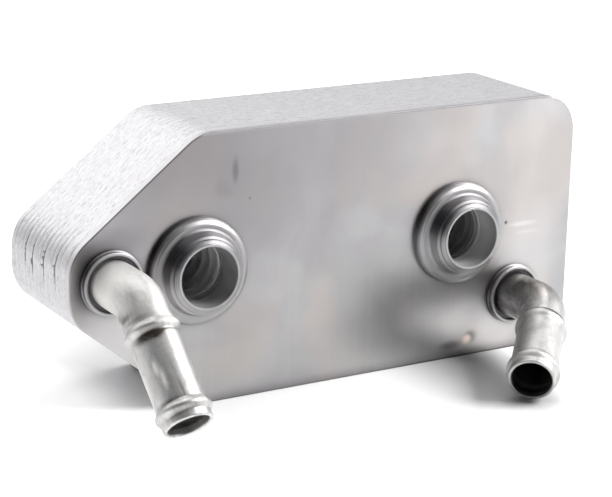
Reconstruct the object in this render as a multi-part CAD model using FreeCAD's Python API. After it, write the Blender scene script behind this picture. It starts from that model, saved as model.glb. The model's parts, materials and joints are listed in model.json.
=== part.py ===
import FreeCAD, Part
import math
import os

# A brazed aluminium plate heat exchanger of the oil cooler kind.
# A stack of nested dished plates with folded fin sheets between them stands on its long
# lower edge. A thick cover plate closes the front, a base plate closes the back. The cover
# carries two turned oil sockets and two bent hose stubs for the coolant.
#
# Frame, in millimetres: the origin is the centre of the base plate's outer face. +X runs
# along the plate, +Y points out of the back, -Y points out of the ports, +Z is up.

Vector = FreeCAD.Vector

# ---- outline of the plates -------------------------------------------------------------
plate_length = 197.0
plate_height = 92.0
upper_chamfer_run = 46.0
upper_chamfer_rise = 36.1
lower_chamfer_run = 43.6
lower_chamfer_rise = 35.2
right_corner_radius = 14.0
left_corner_radius = 15.0

# ---- the stack, front to back ----------------------------------------------------------
cover_thickness = 3.0
cover_edge_round = 0.35
sheet_thickness = 0.5
channel_pitch = 2.95
channel_count = 14
base_thickness = 2.4
rim_height = 5.2
rim_wall = 0.55
rim_setback = 0.1
rim_bend_depth = 0.6
rim_bend_inset = 0.55
rim_slope = rim_wall / channel_pitch

stack_depth = cover_thickness + channel_count * channel_pitch + base_thickness
front_face = -stack_depth
cover_back = front_face + cover_thickness
base_front = -base_thickness

# ---- fin sheets between the plates -----------------------------------------------------
fin_thickness = 0.2
fin_pitch = 5.0
fin_flat = 1.5
fin_inset = 3.2
fin_port_clearance = 0.6

# ---- ports: place on the cover, measured from the plate's centre -----------------------
port_line_height = 0.5
oil_left_place = (-53.5, port_line_height)
oil_right_place = (49.4, port_line_height)
coolant_left_place = (-84.0, port_line_height)
coolant_right_place = (74.4, -25.3)

oil_port_radius = 9.6
coolant_port_radius = 7.0
boss_seat_width = 2.3
boss_foot_width = 3.7
boss_wall = 0.55

# ---- oil sockets -----------------------------------------------------------------------
socket_height = 9.4
socket_bore_radius = 10.2
socket_lip_radius = 11.1
socket_barrel_radius = 12.75
socket_flange_radius = 18.0
socket_flange_height = 3.7
socket_spigot_radius = 12.0
socket_groove_depth = 10.0
socket_groove_width = 0.8
socket_groove_radius = 10.7

# ---- coolant stubs ---------------------------------------------------------------------
tube_radius = 8.0
tube_bore_radius = 6.75
tube_first_leg = 20.2
tube_second_leg = 44.0
tube_bend_radius = 16.0
tube_bend_angle = 45.0
tube_edge_break = 0.4
hose_bead_radius = 9.3
hose_bead_half_width = 1.95
hose_bead_from_mouth = 4.6
stop_bead_radius = 8.75
stop_bead_half_width = 1.7
stop_bead_from_mouth = 29.6
left_lean_angle = -88.0
right_lean_angle = 203.0

collar_radius = 10.5
collar_foot_radius = 10.9
collar_height = 2.6
collar_recess_radius = 9.3
collar_recess_floor = 1.1
collar_spigot_radius = 9.5
collar_edge_round = 0.4

oil_places = (oil_left_place, oil_right_place)
coolant_places = (coolant_left_place, coolant_right_place)


# ---- shared helpers --------------------------------------------------------------------
def outline_corners():
    """Corner points of the plate's outline with their rounding radii, anticlockwise."""
    right = plate_length / 2
    top = plate_height / 2
    return [
        ((right, -top), right_corner_radius),
        ((right, top), right_corner_radius),
        ((upper_chamfer_run - right, top), left_corner_radius),
        ((-right, top - upper_chamfer_rise), left_corner_radius),
        ((-right, lower_chamfer_rise - top), left_corner_radius),
        ((lower_chamfer_run - right, -top), left_corner_radius),
    ]


def outward_normal(start, end):
    """Unit normal of an outline edge, pointing away from the plate."""
    run = end[0] - start[0]
    rise = end[1] - start[1]
    length = math.hypot(run, rise)
    return Vector(rise / length, 0, -run / length)


def outline(inset, y):
    """The rounded outline as a closed wire in the plane y, moved inwards by inset."""
    corners = outline_corners()
    count = len(corners)
    normals = []
    for index in range(count):
        normals.append(outward_normal(corners[index][0], corners[(index + 1) % count][0]))
    arcs = []
    for index in range(count):
        (x, z), radius = corners[index]
        before = normals[index - 1]
        after = normals[index]
        bisector = (before + after).normalize()
        centre = Vector(x, y, z) - bisector * (radius / bisector.dot(after))
        reach = radius - inset
        arcs.append((centre + before * reach, centre + bisector * reach, centre + after * reach))
    edges = []
    for index in range(count):
        first, middle, last = arcs[index]
        edges.append(Part.Arc(first, middle, last).toShape())
        edges.append(Part.LineSegment(last, arcs[(index + 1) % count][0]).toShape())
    return Part.Wire(edges)


def slab(levels):
    """Solid through outlines given as (inset, y) pairs, with straight sides between them."""
    wires = [outline(inset, y) for inset, y in levels]
    return Part.makeLoft(wires, True, True)


def port_cylinder(place, radius, y_from, y_to):
    """Cylinder along Y at a port's place."""
    return Part.makeCylinder(radius, y_to - y_from, Vector(place[0], y_from, place[1]), Vector(0, 1, 0))


def polygon_edges(points):
    """Straight edges through the points, in their order."""
    return [Part.LineSegment(a, b).toShape() for a, b in zip(points, points[1:])]


def turned(edges):
    """Solid of revolution about the Y axis from a closed chain of edges in the XY plane."""
    face = Part.Face(Part.Wire(edges))
    return face.revolve(Vector(0, 0, 0), Vector(0, 1, 0), 360)


def on_cover(shape, place):
    """Moves a turned shape, drawn with y = 0 on the cover's front, to a port's place."""
    moved = shape.copy()
    moved.translate(Vector(place[0], front_face, place[1]))
    return moved


# ---- cover and base --------------------------------------------------------------------
def cover_plate():
    """Thick front plate with the holes for the sockets and the stubs' collars."""
    plate = slab([(0, front_face), (0, cover_back)])
    front_edges = [edge for edge in plate.Edges if edge.BoundBox.YMax < front_face + cover_edge_round]
    plate = plate.makeFillet(cover_edge_round, front_edges)
    for place in oil_places:
        plate = plate.cut(port_cylinder(place, socket_spigot_radius, front_face, cover_back))
    for place in coolant_places:
        plate = plate.cut(port_cylinder(place, collar_spigot_radius, front_face, cover_back))
    return plate


def rim_inset(distance):
    """How far a rim's outer face lies inside the outline, at a distance behind its floor."""
    return rim_setback + (rim_height - distance) * rim_slope


def base_plate():
    """Thick back plate, held inside the rim of the last channel plate."""
    front = rim_inset(channel_pitch) + rim_wall
    back = rim_inset(channel_pitch + base_thickness) + rim_wall
    return slab([(front, base_front), (back, 0)])


# ---- channel plates --------------------------------------------------------------------
def boss(place, port_radius, floor_front):
    """Drawn ring that lifts the rim of a port to the next plate and seals the channel."""
    foot = port_radius + boss_foot_width
    seat = port_radius + boss_seat_width
    crest = channel_pitch - sheet_thickness
    profile = [
        Vector(foot + boss_wall, 0, 0),
        Vector(foot, 0, 0),
        Vector(seat, crest, 0),
        Vector(port_radius, crest, 0),
        Vector(port_radius, channel_pitch, 0),
        Vector(seat + boss_wall, channel_pitch, 0),
        Vector(foot + boss_wall, sheet_thickness, 0),
        Vector(foot + boss_wall, 0, 0),
    ]
    ring = turned(polygon_edges(profile))
    ring.translate(Vector(place[0], floor_front, place[1]))
    return ring


def channel_plate(number):
    """Dished plate: odd plates seal the coolant ports, even plates seal the oil ports."""
    floor_front = cover_back + (number - 1) * channel_pitch
    outside = slab([
        (rim_inset(rim_bend_depth) + rim_bend_inset, floor_front),
        (rim_inset(rim_bend_depth), floor_front + rim_bend_depth),
        (rim_inset(rim_height), floor_front + rim_height),
    ])
    floor_back = floor_front + sheet_thickness
    inside = slab([
        (rim_inset(sheet_thickness) + rim_wall + rim_bend_inset, floor_back),
        (rim_inset(sheet_thickness + rim_bend_depth) + rim_wall, floor_back + rim_bend_depth),
        (rim_inset(rim_height) + rim_wall, floor_front + rim_height),
    ])
    plate = outside.cut(inside)
    if number % 2 == 1:
        open_ports = [(place, oil_port_radius) for place in oil_places]
        sealed_ports = [(place, coolant_port_radius) for place in coolant_places]
    else:
        open_ports = [(place, coolant_port_radius) for place in coolant_places]
        sealed_ports = [(place, oil_port_radius) for place in oil_places]
    for place, radius in open_ports:
        plate = plate.cut(port_cylinder(place, radius, floor_front, floor_back))
    for place, radius in sealed_ports:
        boss_edge = radius + boss_foot_width + boss_wall
        plate = plate.cut(port_cylinder(place, boss_edge, floor_front, floor_back))
        plate = plate.fuse(boss(place, radius, floor_front))
    return plate.removeSplitter()


# ---- fin sheets ------------------------------------------------------------------------
def fin_wave(low, high, start, end):
    """Points of one side of the folded sheet: flats at low and high joined by slopes."""
    points = []
    slope_run = fin_pitch / 2 - fin_flat
    z = start
    while z + fin_pitch <= end:
        points.append((low, z))
        points.append((low, z + fin_flat))
        points.append((high, z + fin_flat + slope_run))
        points.append((high, z + 2 * fin_flat + slope_run))
        z += fin_pitch
    points.append((low, z))
    points.append((low, z + fin_flat))
    return points


def fin_sheet(number):
    """Folded sheet that fills one channel, with its fins along X and its ports cut free."""
    channel_front = cover_back + (number - 1) * channel_pitch + sheet_thickness
    channel_back = cover_back + number * channel_pitch
    half_height = plate_height / 2 - fin_inset
    half_length = plate_length / 2 - fin_inset
    lean = fin_thickness / 2
    front_side = fin_wave(channel_back - fin_thickness, channel_front, -half_height, half_height)
    back_side = fin_wave(channel_back, channel_front + fin_thickness, -half_height, half_height)
    loop = []
    for index, (y, z) in enumerate(front_side):
        toward_crest = 1 if index % 4 in (0, 3) else -1
        loop.append(Vector(-half_length, y, z + lean * toward_crest))
    for index, (y, z) in reversed(list(enumerate(back_side))):
        toward_crest = -1 if index % 4 in (0, 3) else 1
        loop.append(Vector(-half_length, y, z + lean * toward_crest))
    loop.append(loop[0])
    section = Part.Face(Part.Wire(polygon_edges(loop)))
    sheet = section.extrude(Vector(2 * half_length, 0, 0))
    sheet = sheet.common(slab([(fin_inset, channel_front), (fin_inset, channel_back)]))
    for places, radius in ((oil_places, oil_port_radius), (coolant_places, coolant_port_radius)):
        clear_radius = radius + boss_foot_width + boss_wall + fin_port_clearance
        for place in places:
            sheet = sheet.cut(port_cylinder(place, clear_radius, channel_front, channel_back))
    return sheet


# ---- oil sockets -----------------------------------------------------------------------
def oil_socket():
    """Turned socket: a rounded flange, a waisted barrel, a thin lip and a plain bore.

    Drawn with y = 0 on the cover's front; the bore opens towards -Y.
    """
    shoulder = 1.2
    shoulder_radius = 16.0
    shoulder_top = 3.6
    round_middle = (17.45, 2.8)
    face_radius = 14.8
    cove_top = 5.4
    cove_middle = (13.45, 4.2)
    barrel_foot_radius = 13.0
    barrel_top = 7.6
    waist_radius = 12.2
    waist_low = 7.85
    waist_high = 8.25
    lip_foot_radius = 11.9
    lip_foot = 8.4
    mouth_break = 0.3
    groove_low = socket_height - socket_groove_depth
    groove_end = groove_low - socket_groove_width

    def at(radius, height):
        return Vector(radius, -height, 0)

    flange_round = Part.Arc(
        at(socket_flange_radius, shoulder),
        at(*round_middle),
        at(shoulder_radius, shoulder_top),
    ).toShape()
    cove = Part.Arc(
        at(face_radius, socket_flange_height),
        at(*cove_middle),
        at(barrel_foot_radius, cove_top),
    ).toShape()
    edges = polygon_edges([
        at(socket_bore_radius, -cover_thickness),
        at(socket_spigot_radius, -cover_thickness),
        at(socket_spigot_radius, 0),
        at(socket_flange_radius, 0),
        at(socket_flange_radius, shoulder),
    ])
    edges.append(flange_round)
    edges += polygon_edges([
        at(shoulder_radius, shoulder_top),
        at(face_radius, socket_flange_height),
    ])
    edges.append(cove)
    edges += polygon_edges([
        at(barrel_foot_radius, cove_top),
        at(socket_barrel_radius, barrel_top),
        at(waist_radius, waist_low),
        at(waist_radius, waist_high),
        at(lip_foot_radius, lip_foot),
        at(socket_lip_radius, socket_height - mouth_break),
        at(socket_lip_radius - mouth_break, socket_height),
        at(socket_bore_radius + mouth_break, socket_height),
        at(socket_bore_radius, socket_height - mouth_break),
        at(socket_bore_radius, groove_low),
        at(socket_groove_radius, groove_low),
        at(socket_groove_radius, groove_end),
        at(socket_bore_radius, groove_end),
        at(socket_bore_radius, -cover_thickness),
    ])
    return turned(edges)


# ---- coolant stubs ---------------------------------------------------------------------
def collar():
    """Raised ring that holds the foot of a stub, recessed around the tube."""

    def at(radius, height):
        return Vector(radius, -height, 0)

    foot_height = 0.6
    foot_top = 1.0
    rim_top = collar_height - collar_edge_round
    edges = polygon_edges([
        at(tube_radius, -cover_thickness),
        at(collar_spigot_radius, -cover_thickness),
        at(collar_spigot_radius, 0),
        at(collar_foot_radius, 0),
        at(collar_foot_radius, foot_height),
        at(collar_radius, foot_top),
        at(collar_radius, rim_top),
    ])
    round_reach = collar_edge_round * (1 - math.sqrt(0.5))
    edges.append(Part.Arc(
        at(collar_radius, rim_top),
        at(collar_radius - round_reach, collar_height - round_reach),
        at(collar_radius - collar_edge_round, collar_height),
    ).toShape())
    edges += polygon_edges([
        at(collar_radius - collar_edge_round, collar_height),
        at(collar_recess_radius + collar_edge_round, collar_height),
        at(collar_recess_radius, rim_top),
        at(collar_recess_radius, collar_recess_floor),
        at(tube_radius, collar_recess_floor),
        at(tube_radius, -cover_thickness),
    ])
    return turned(edges)


def straight_leg(length):
    """Outside of the second leg along Z, from the bend at 0 to the mouth at length."""

    def bead(from_mouth, half_width, radius):
        middle = length - from_mouth
        return Part.Arc(
            Vector(tube_radius, 0, middle - half_width),
            Vector(radius, 0, middle),
            Vector(tube_radius, 0, middle + half_width),
        ).toShape()

    stop_low = length - stop_bead_from_mouth - stop_bead_half_width
    stop_high = length - stop_bead_from_mouth + stop_bead_half_width
    hose_low = length - hose_bead_from_mouth - hose_bead_half_width
    hose_high = length - hose_bead_from_mouth + hose_bead_half_width
    edges = polygon_edges([
        Vector(0, 0, 0),
        Vector(tube_radius, 0, 0),
        Vector(tube_radius, 0, stop_low),
    ])
    edges.append(bead(stop_bead_from_mouth, stop_bead_half_width, stop_bead_radius))
    edges += polygon_edges([Vector(tube_radius, 0, stop_high), Vector(tube_radius, 0, hose_low)])
    edges.append(bead(hose_bead_from_mouth, hose_bead_half_width, hose_bead_radius))
    edges += polygon_edges([
        Vector(tube_radius, 0, hose_high),
        Vector(tube_radius, 0, length - tube_edge_break),
        Vector(tube_radius - tube_edge_break, 0, length),
        Vector(0, 0, length),
        Vector(0, 0, 0),
    ])
    face = Part.Face(Part.Wire(edges))
    return face.revolve(Vector(0, 0, 0), Vector(0, 0, 1), 360)


def bent_rod(radius, second_leg):
    """A rod along the stub's centre line: straight up Z, round the bend, then second_leg."""
    tangent = tube_bend_radius * math.tan(math.radians(tube_bend_angle / 2))
    bend_start = tube_first_leg - tangent
    first = Part.makeCylinder(radius, bend_start + cover_thickness, Vector(0, 0, -cover_thickness))
    disc = Part.Face(Part.Wire(Part.makeCircle(radius, Vector(0, 0, bend_start))))
    pivot = Vector(tube_bend_radius, 0, bend_start)
    bend = disc.revolve(pivot, Vector(0, 1, 0), tube_bend_angle)
    leg = second_leg.copy()
    leg.translate(Vector(0, 0, bend_start))
    leg.rotate(pivot, Vector(0, 1, 0), tube_bend_angle)
    return first.fuse([bend, leg]).removeSplitter()


def coolant_elbow(place, lean_angle):
    """Bent hose stub. It leaves the cover along -Y, then leans towards lean_angle in XZ."""
    tangent = tube_bend_radius * math.tan(math.radians(tube_bend_angle / 2))
    length = tube_second_leg - tangent
    outside = bent_rod(tube_radius, straight_leg(length))
    inside = bent_rod(tube_bore_radius, Part.makeCylinder(tube_bore_radius, length))
    tube = outside.cut(inside)
    angle = math.radians(lean_angle)
    lean = Vector(math.cos(angle), 0, math.sin(angle))
    outward = Vector(0, -1, 0)
    turn = FreeCAD.Rotation(lean, outward.cross(lean), outward, "ZXY")
    tube.Placement = FreeCAD.Placement(Vector(place[0], front_face, place[1]), turn)
    return tube


# ---- the assembly ----------------------------------------------------------------------
def build_parts():
    """Every piece of the exchanger, by node name."""
    parts = {
        "cover_plate": cover_plate(),
        "base_plate": base_plate(),
    }
    for number in range(1, channel_count + 1):
        parts[f"channel_plate_{number:02d}"] = channel_plate(number)
        circuit = "oil" if number % 2 == 1 else "coolant"
        parts[f"{circuit}_fin_sheet_{number:02d}"] = fin_sheet(number)
    socket = oil_socket()
    parts["oil_socket_left"] = on_cover(socket, oil_left_place)
    parts["oil_socket_right"] = on_cover(socket, oil_right_place)
    ring = collar()
    parts["coolant_collar_left"] = on_cover(ring, coolant_left_place)
    parts["coolant_collar_right"] = on_cover(ring, coolant_right_place)
    parts["coolant_elbow_left"] = coolant_elbow(coolant_left_place, left_lean_angle)
    parts["coolant_elbow_right"] = coolant_elbow(coolant_right_place, right_lean_angle)
    return parts


os.makedirs("parts", exist_ok=True)
for name, shape in build_parts().items():
    box = shape.BoundBox
    print(f"{name:24s} solids {len(shape.Solids)}  valid {shape.isValid()}  volume {shape.Volume:9.1f} mm3")
    print(f"    x {box.XMin:7.2f} {box.XMax:7.2f}  y {box.YMin:8.2f} {box.YMax:7.2f}")
    print(f"    z {box.ZMin:7.2f} {box.ZMax:7.2f}")
    shape.exportStep(f"parts/{name}.step")
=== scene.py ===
import json
import math

import bpy
from mathutils import Matrix, Vector, noise


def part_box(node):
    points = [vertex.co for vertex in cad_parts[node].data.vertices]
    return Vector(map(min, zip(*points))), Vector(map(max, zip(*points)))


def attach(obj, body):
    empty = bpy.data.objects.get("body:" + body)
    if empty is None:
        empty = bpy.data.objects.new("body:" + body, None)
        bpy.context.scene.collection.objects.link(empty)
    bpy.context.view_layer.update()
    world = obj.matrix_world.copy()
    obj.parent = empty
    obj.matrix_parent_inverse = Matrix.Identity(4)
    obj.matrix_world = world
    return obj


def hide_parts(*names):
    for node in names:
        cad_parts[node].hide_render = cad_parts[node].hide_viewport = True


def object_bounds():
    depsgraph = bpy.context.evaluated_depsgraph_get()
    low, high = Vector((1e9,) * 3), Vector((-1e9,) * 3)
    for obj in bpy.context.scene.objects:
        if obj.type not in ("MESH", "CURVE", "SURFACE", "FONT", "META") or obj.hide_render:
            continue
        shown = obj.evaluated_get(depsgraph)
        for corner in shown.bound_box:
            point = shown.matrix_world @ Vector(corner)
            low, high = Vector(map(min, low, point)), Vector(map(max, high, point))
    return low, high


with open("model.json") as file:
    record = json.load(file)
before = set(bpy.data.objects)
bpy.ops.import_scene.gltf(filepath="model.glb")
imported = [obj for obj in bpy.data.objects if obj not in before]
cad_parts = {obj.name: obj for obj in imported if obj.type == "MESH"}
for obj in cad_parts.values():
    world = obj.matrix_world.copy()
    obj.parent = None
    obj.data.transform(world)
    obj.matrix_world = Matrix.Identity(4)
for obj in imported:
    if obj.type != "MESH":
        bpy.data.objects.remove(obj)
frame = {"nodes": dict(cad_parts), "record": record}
cad_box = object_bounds()

MM = 0.001
SIDES = ("left", "right")
scene = bpy.context.scene
scene.view_settings.view_transform = "Standard"
scene.view_settings.look = "None"

# ---- camera ------------------------------------------------------------------------------
CAMERA_PLACE = Vector((-0.34641, -0.59967, 0.18983))
CAMERA_RIGHT = Vector((0.85881, -0.51186, 0.02128))
CAMERA_FORWARD = Vector((0.49681, 0.82199, -0.27842))
SENSOR_WIDTH = 36.0
LENS = 118.287
NEAR_CLIP = 0.01
FAR_CLIP = 50.0

camera_data = bpy.data.cameras.new("camera")
camera_data.sensor_width = SENSOR_WIDTH
camera_data.lens = LENS
camera_data.clip_start = NEAR_CLIP
camera_data.clip_end = FAR_CLIP
camera = bpy.data.objects.new("camera", camera_data)
scene.collection.objects.link(camera)
camera_back = -CAMERA_FORWARD
camera_up = camera_back.cross(CAMERA_RIGHT)
camera.matrix_world = Matrix((
    (CAMERA_RIGHT.x, camera_up.x, camera_back.x, CAMERA_PLACE.x),
    (CAMERA_RIGHT.y, camera_up.y, camera_back.y, CAMERA_PLACE.y),
    (CAMERA_RIGHT.z, camera_up.z, camera_back.z, CAMERA_PLACE.z),
    (0, 0, 0, 1),
))
scene.camera = camera

# ---- places read from the frame ----------------------------------------------------------
cover_low, cover_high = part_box("cover_plate")
FRONT = cover_low.y
COVER_BACK = cover_high.y
LENGTH = cover_high.x - cover_low.x
HEIGHT = cover_high.z - cover_low.z
MOUNTS = {mount["name"]: mount for mount in frame["record"]["mounts"]}


def middle_of(node):
    low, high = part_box(node)
    return (low + high) / 2


def ramp(value, start, length):
    """0 up to start, 1 from start + length on, and straight in between."""
    return min(1.0, max(0.0, (value - start) / length))


# ---- mesh helpers ------------------------------------------------------------------------
# sides of one angle above which an edge is sharp, in degrees
TURNED_SHARP = 35.0
TUBE_SHARP = 60.0
BRAZE_SHARP = 50.0
# steps on each rounded corner of a profile, and the share of a side that one corner may take
CORNER_STEPS = 5
SIDE_SHARE = 0.49
# radius of the circle that stands for a turn in the coordinates of turned pieces, in metres
RING_RADIUS = 0.01


def add_piece(name, verts, faces, slot, replaces, attributes, sharp, material=None):
    """A smooth-shaded mesh piece that rides on the exchanger.

    Its material is its slot's, unless another is named.
    """
    mesh = bpy.data.meshes.new(name)
    mesh.from_pydata([tuple(v) for v in verts], [], faces)
    mesh.validate()
    mesh.update()
    mesh.shade_smooth()
    mesh.set_sharp_from_angle(angle=math.radians(sharp))
    for key, values in attributes.items():
        attribute = mesh.attributes.new(key, "FLOAT_VECTOR", "POINT")
        flat = [c for value in values for c in value]
        attribute.data.foreach_set("vector", flat)
    obj = bpy.data.objects.new(name, mesh)
    scene.collection.objects.link(obj)
    obj.data.materials.append(MATERIALS[material or slot])
    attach(obj, "root")
    for node in replaces:
        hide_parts(node)
    return obj


def ring_faces(rows, columns):
    """Quads over a grid of points that closes on itself along its columns and its rows."""
    faces = []
    for i in range(rows):
        following = (i + 1) % rows
        for j in range(columns):
            beside = (j + 1) % columns
            faces.append((i * columns + j, i * columns + beside,
                          following * columns + beside, following * columns + j))
    return faces


def rounded(corners):
    """Points of a closed outline whose corners, given as (x, y, radius), are rounded off."""
    points = []
    count = len(corners)
    for i in range(count):
        x, y, radius = corners[i]
        here = Vector((x, y))
        before = Vector(corners[i - 1][:2]) - here
        after = Vector(corners[(i + 1) % count][:2]) - here
        if radius <= 0:
            points.append(here)
            continue
        half = before.angle(after) / 2
        reach = min(radius / math.tan(half), SIDE_SHARE * before.length, SIDE_SHARE * after.length)
        start = here + before.normalized() * reach
        end = here + after.normalized() * reach
        for k in range(CORNER_STEPS + 1):
            t = k / CORNER_STEPS
            points.append(start * (1 - t) ** 2 + here * 2 * t * (1 - t) + end * t ** 2)
    return points


def lathe(name, profile, foot, columns, slot, replaces, side_shade, wall_paint_share):
    """A turned piece on the cover, whose centre there is foot.

    The profile holds (radius, height off the cover) in mm. Each patch of painted shade on a side is
    (lowest height, highest height, smallest radius, turn of its middle, spread, amount). The last
    argument says how far the bore's wall goes with depth from its mouth colour to its deep colour,
    from 0 to 1: painted light deep in a socket, painted shade deep in a collar.
    """
    verts = []
    ring = []
    shade = []
    length = 0.0
    mouth = max(range(len(profile)), key=lambda i: (profile[i][1], -profile[i][0]))
    mouth_height = profile[mouth][1]
    for i, (radius, height) in enumerate(profile):
        if i:
            length += math.dist(profile[i], profile[i - 1])
        # share of the bore wall's mouth colour at this height; the rest is its deep colour, painted light
        # in a socket and painted shade in a collar
        near_mouth = 1.0 - wall_paint_share * (1.0 - ramp(height / mouth_height, 0.0, 1.0))
        for j in range(columns):
            turn = 2 * math.pi * j / columns
            verts.append((foot.x + radius * MM * math.cos(turn), FRONT - height * MM,
                          foot.z + radius * MM * math.sin(turn)))
            ring.append((length * MM, math.cos(turn) * RING_RADIUS, math.sin(turn) * RING_RADIUS))
            # painted shade on chosen sides of the piece
            painted_shade_amount = 0.0
            for low, high, least, around, spread, amount in side_shade:
                if low <= height <= high and radius >= least and i < mouth:
                    painted_shade_amount += amount * math.exp(-((turn - around) / spread) ** 2)
            shade.append((near_mouth, min(painted_shade_amount, 1.0), 1.0 if i > mouth else 0.0))
    faces = ring_faces(len(profile), columns)
    return add_piece(name, verts, faces, slot, replaces, {"ring": ring, "shade": shade}, TURNED_SHARP)


# ---- materials ---------------------------------------------------------------------------
# the range that most values of a noise texture lie in, and the whole range of a factor
NOISE_RANGE = (0.3, 0.7)
WHOLE = (0.0, 1.0)
# rays that look for close surfaces, the range that darkens a groove, and the colour of the painted shade in
# corners and grooves
CLOSENESS_SAMPLES = 8
GROOVE_RANGE = (0.35, 0.95)
PAINTED_SHADE_DARK = (0.10, 0.097, 0.10)


class Nodes:
    """Short calls that build one material's node tree. Colours are linear red, green and blue."""

    def __init__(self, name):
        self.material = bpy.data.materials.new(name)
        self.material.use_nodes = True
        self.tree = self.material.node_tree
        self.shader = self.tree.nodes["Principled BSDF"]

    def add(self, kind, **settings):
        node = self.tree.nodes.new(kind)
        for key, value in settings.items():
            setattr(node, key, value)
        return node

    def link(self, source, target):
        self.tree.links.new(source, target)

    def place(self, attribute=None):
        """Coordinates in metres: the object's own, or a named attribute of the mesh."""
        if attribute:
            return self.add("ShaderNodeAttribute", attribute_name=attribute).outputs["Vector"]
        return self.add("ShaderNodeTexCoord").outputs["Object"]

    def split(self, vector):
        """The three parts of a vector."""
        node = self.add("ShaderNodeSeparateXYZ")
        self.link(vector, node.inputs[0])
        return node.outputs["X"], node.outputs["Y"], node.outputs["Z"]

    def noise(self, place, scale, detail=3.0, rough=0.55, distort=0.0):
        """Noise between 0 and 1 with a scale in cycles per metre along each axis."""
        stretch = self.add("ShaderNodeVectorMath", operation="MULTIPLY")
        self.link(place, stretch.inputs[0])
        stretch.inputs[1].default_value = scale
        texture = self.add("ShaderNodeTexNoise")
        texture.inputs["Scale"].default_value = 1.0
        texture.inputs["Detail"].default_value = detail
        texture.inputs["Roughness"].default_value = rough
        texture.inputs["Distortion"].default_value = distort
        self.link(stretch.outputs[0], texture.inputs["Vector"])
        return texture.outputs["Fac"]

    def remap(self, value, source, result, smooth=False):
        """The value moved from one (low, high) range to another, and held at its ends."""
        node = self.add("ShaderNodeMapRange")
        if smooth:
            node.interpolation_type = "SMOOTHSTEP"
        self.link(value, node.inputs["Value"])
        node.inputs["From Min"].default_value = source[0]
        node.inputs["From Max"].default_value = source[1]
        node.inputs["To Min"].default_value = result[0]
        node.inputs["To Max"].default_value = result[1]
        return node.outputs["Result"]

    def spread(self, texture, low=0.0, high=1.0):
        """A noise texture's usual range moved to low and high."""
        return self.remap(texture, NOISE_RANGE, (low, high))

    def math(self, operation, a, b):
        node = self.add("ShaderNodeMath", operation=operation)
        for socket, value in zip(node.inputs, (a, b)):
            if isinstance(value, (int, float)):
                socket.default_value = value
            else:
                self.link(value, socket)
        return node.outputs[0]

    def blend(self, factor, a, b):
        """Colour a where the factor is 0 and colour b where it is 1."""
        node = self.add("ShaderNodeMix", data_type="RGBA", blend_type="MIX")
        sockets = (node.inputs[0], node.inputs[6], node.inputs[7])
        for socket, value in zip(sockets, (factor, a, b)):
            if isinstance(value, tuple):
                socket.default_value = (*value, 1.0)
            else:
                self.link(value, socket)
        return node.outputs[2]

    def spot(self, place, centre, reach, core=0.0):
        """1 from the centre out to core, falling to 0 at an ellipsoid with the given reach."""
        offset = self.add("ShaderNodeVectorMath", operation="SUBTRACT")
        self.link(place, offset.inputs[0])
        offset.inputs[1].default_value = centre
        scaled = self.add("ShaderNodeVectorMath", operation="DIVIDE")
        self.link(offset.outputs[0], scaled.inputs[0])
        scaled.inputs[1].default_value = reach
        size = self.add("ShaderNodeVectorMath", operation="LENGTH")
        self.link(scaled.outputs[0], size.inputs[0])
        return self.remap(size.outputs["Value"], (core, 1.0), (1.0, 0.0), smooth=True)

    def closeness(self, reach, source, strength):
        """The factor of painted shade: up to strength where other surfaces stand within reach, as in
        corners and grooves.
        """
        node = self.add("ShaderNodeAmbientOcclusion", samples=CLOSENESS_SAMPLES)
        node.inputs["Distance"].default_value = reach
        return self.remap(node.outputs["AO"], source, (strength, 0.0), smooth=True)

    def paint_hollow_shade(self, color, reach, strength):
        """The colour with painted shade, darker in corners and grooves narrower than reach."""
        return self.blend(self.closeness(reach, GROOVE_RANGE, strength), color, PAINTED_SHADE_DARK)

    def bump(self, height, strength, distance, onto=None):
        node = self.add("ShaderNodeBump")
        node.inputs["Strength"].default_value = strength
        node.inputs["Distance"].default_value = distance
        self.link(height, node.inputs["Height"])
        if onto is not None:
            self.link(onto, node.inputs["Normal"])
        return node.outputs["Normal"]

    def metal(self, coat, bare, coated):
        """Metallic value falling from bare to coated where the coat value is 1."""
        self.link(self.remap(coat, WHOLE, (bare, coated)), self.shader.inputs["Metallic"])

    def finish(self, color, roughness, normal):
        self.shader.inputs["Metallic"].default_value = 1.0
        self.link(color, self.shader.inputs["Base Color"])
        self.link(roughness, self.shader.inputs["Roughness"])
        self.link(normal, self.shader.inputs["Normal"])
        return self.material


# how far from an oil port's axis the gallery's colour reaches, in metres, and that colour: a pale painted
# light in the left gallery and a grey in the right one
GALLERY_REACH = 0.017
GALLERY_PAINTED_TONES = {"oil_port_left": (0.72, 0.71, 0.72), "oil_port_right": (0.30, 0.295, 0.30)}

# painted shade on the cover's upper left part: centre, reach, strength and colour
COVER_UPPER_LEFT_SHADE = ((-0.050, FRONT, 0.050), (0.12, 0.06, 0.085), 0.75, (0.20, 0.19, 0.20))
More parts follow.
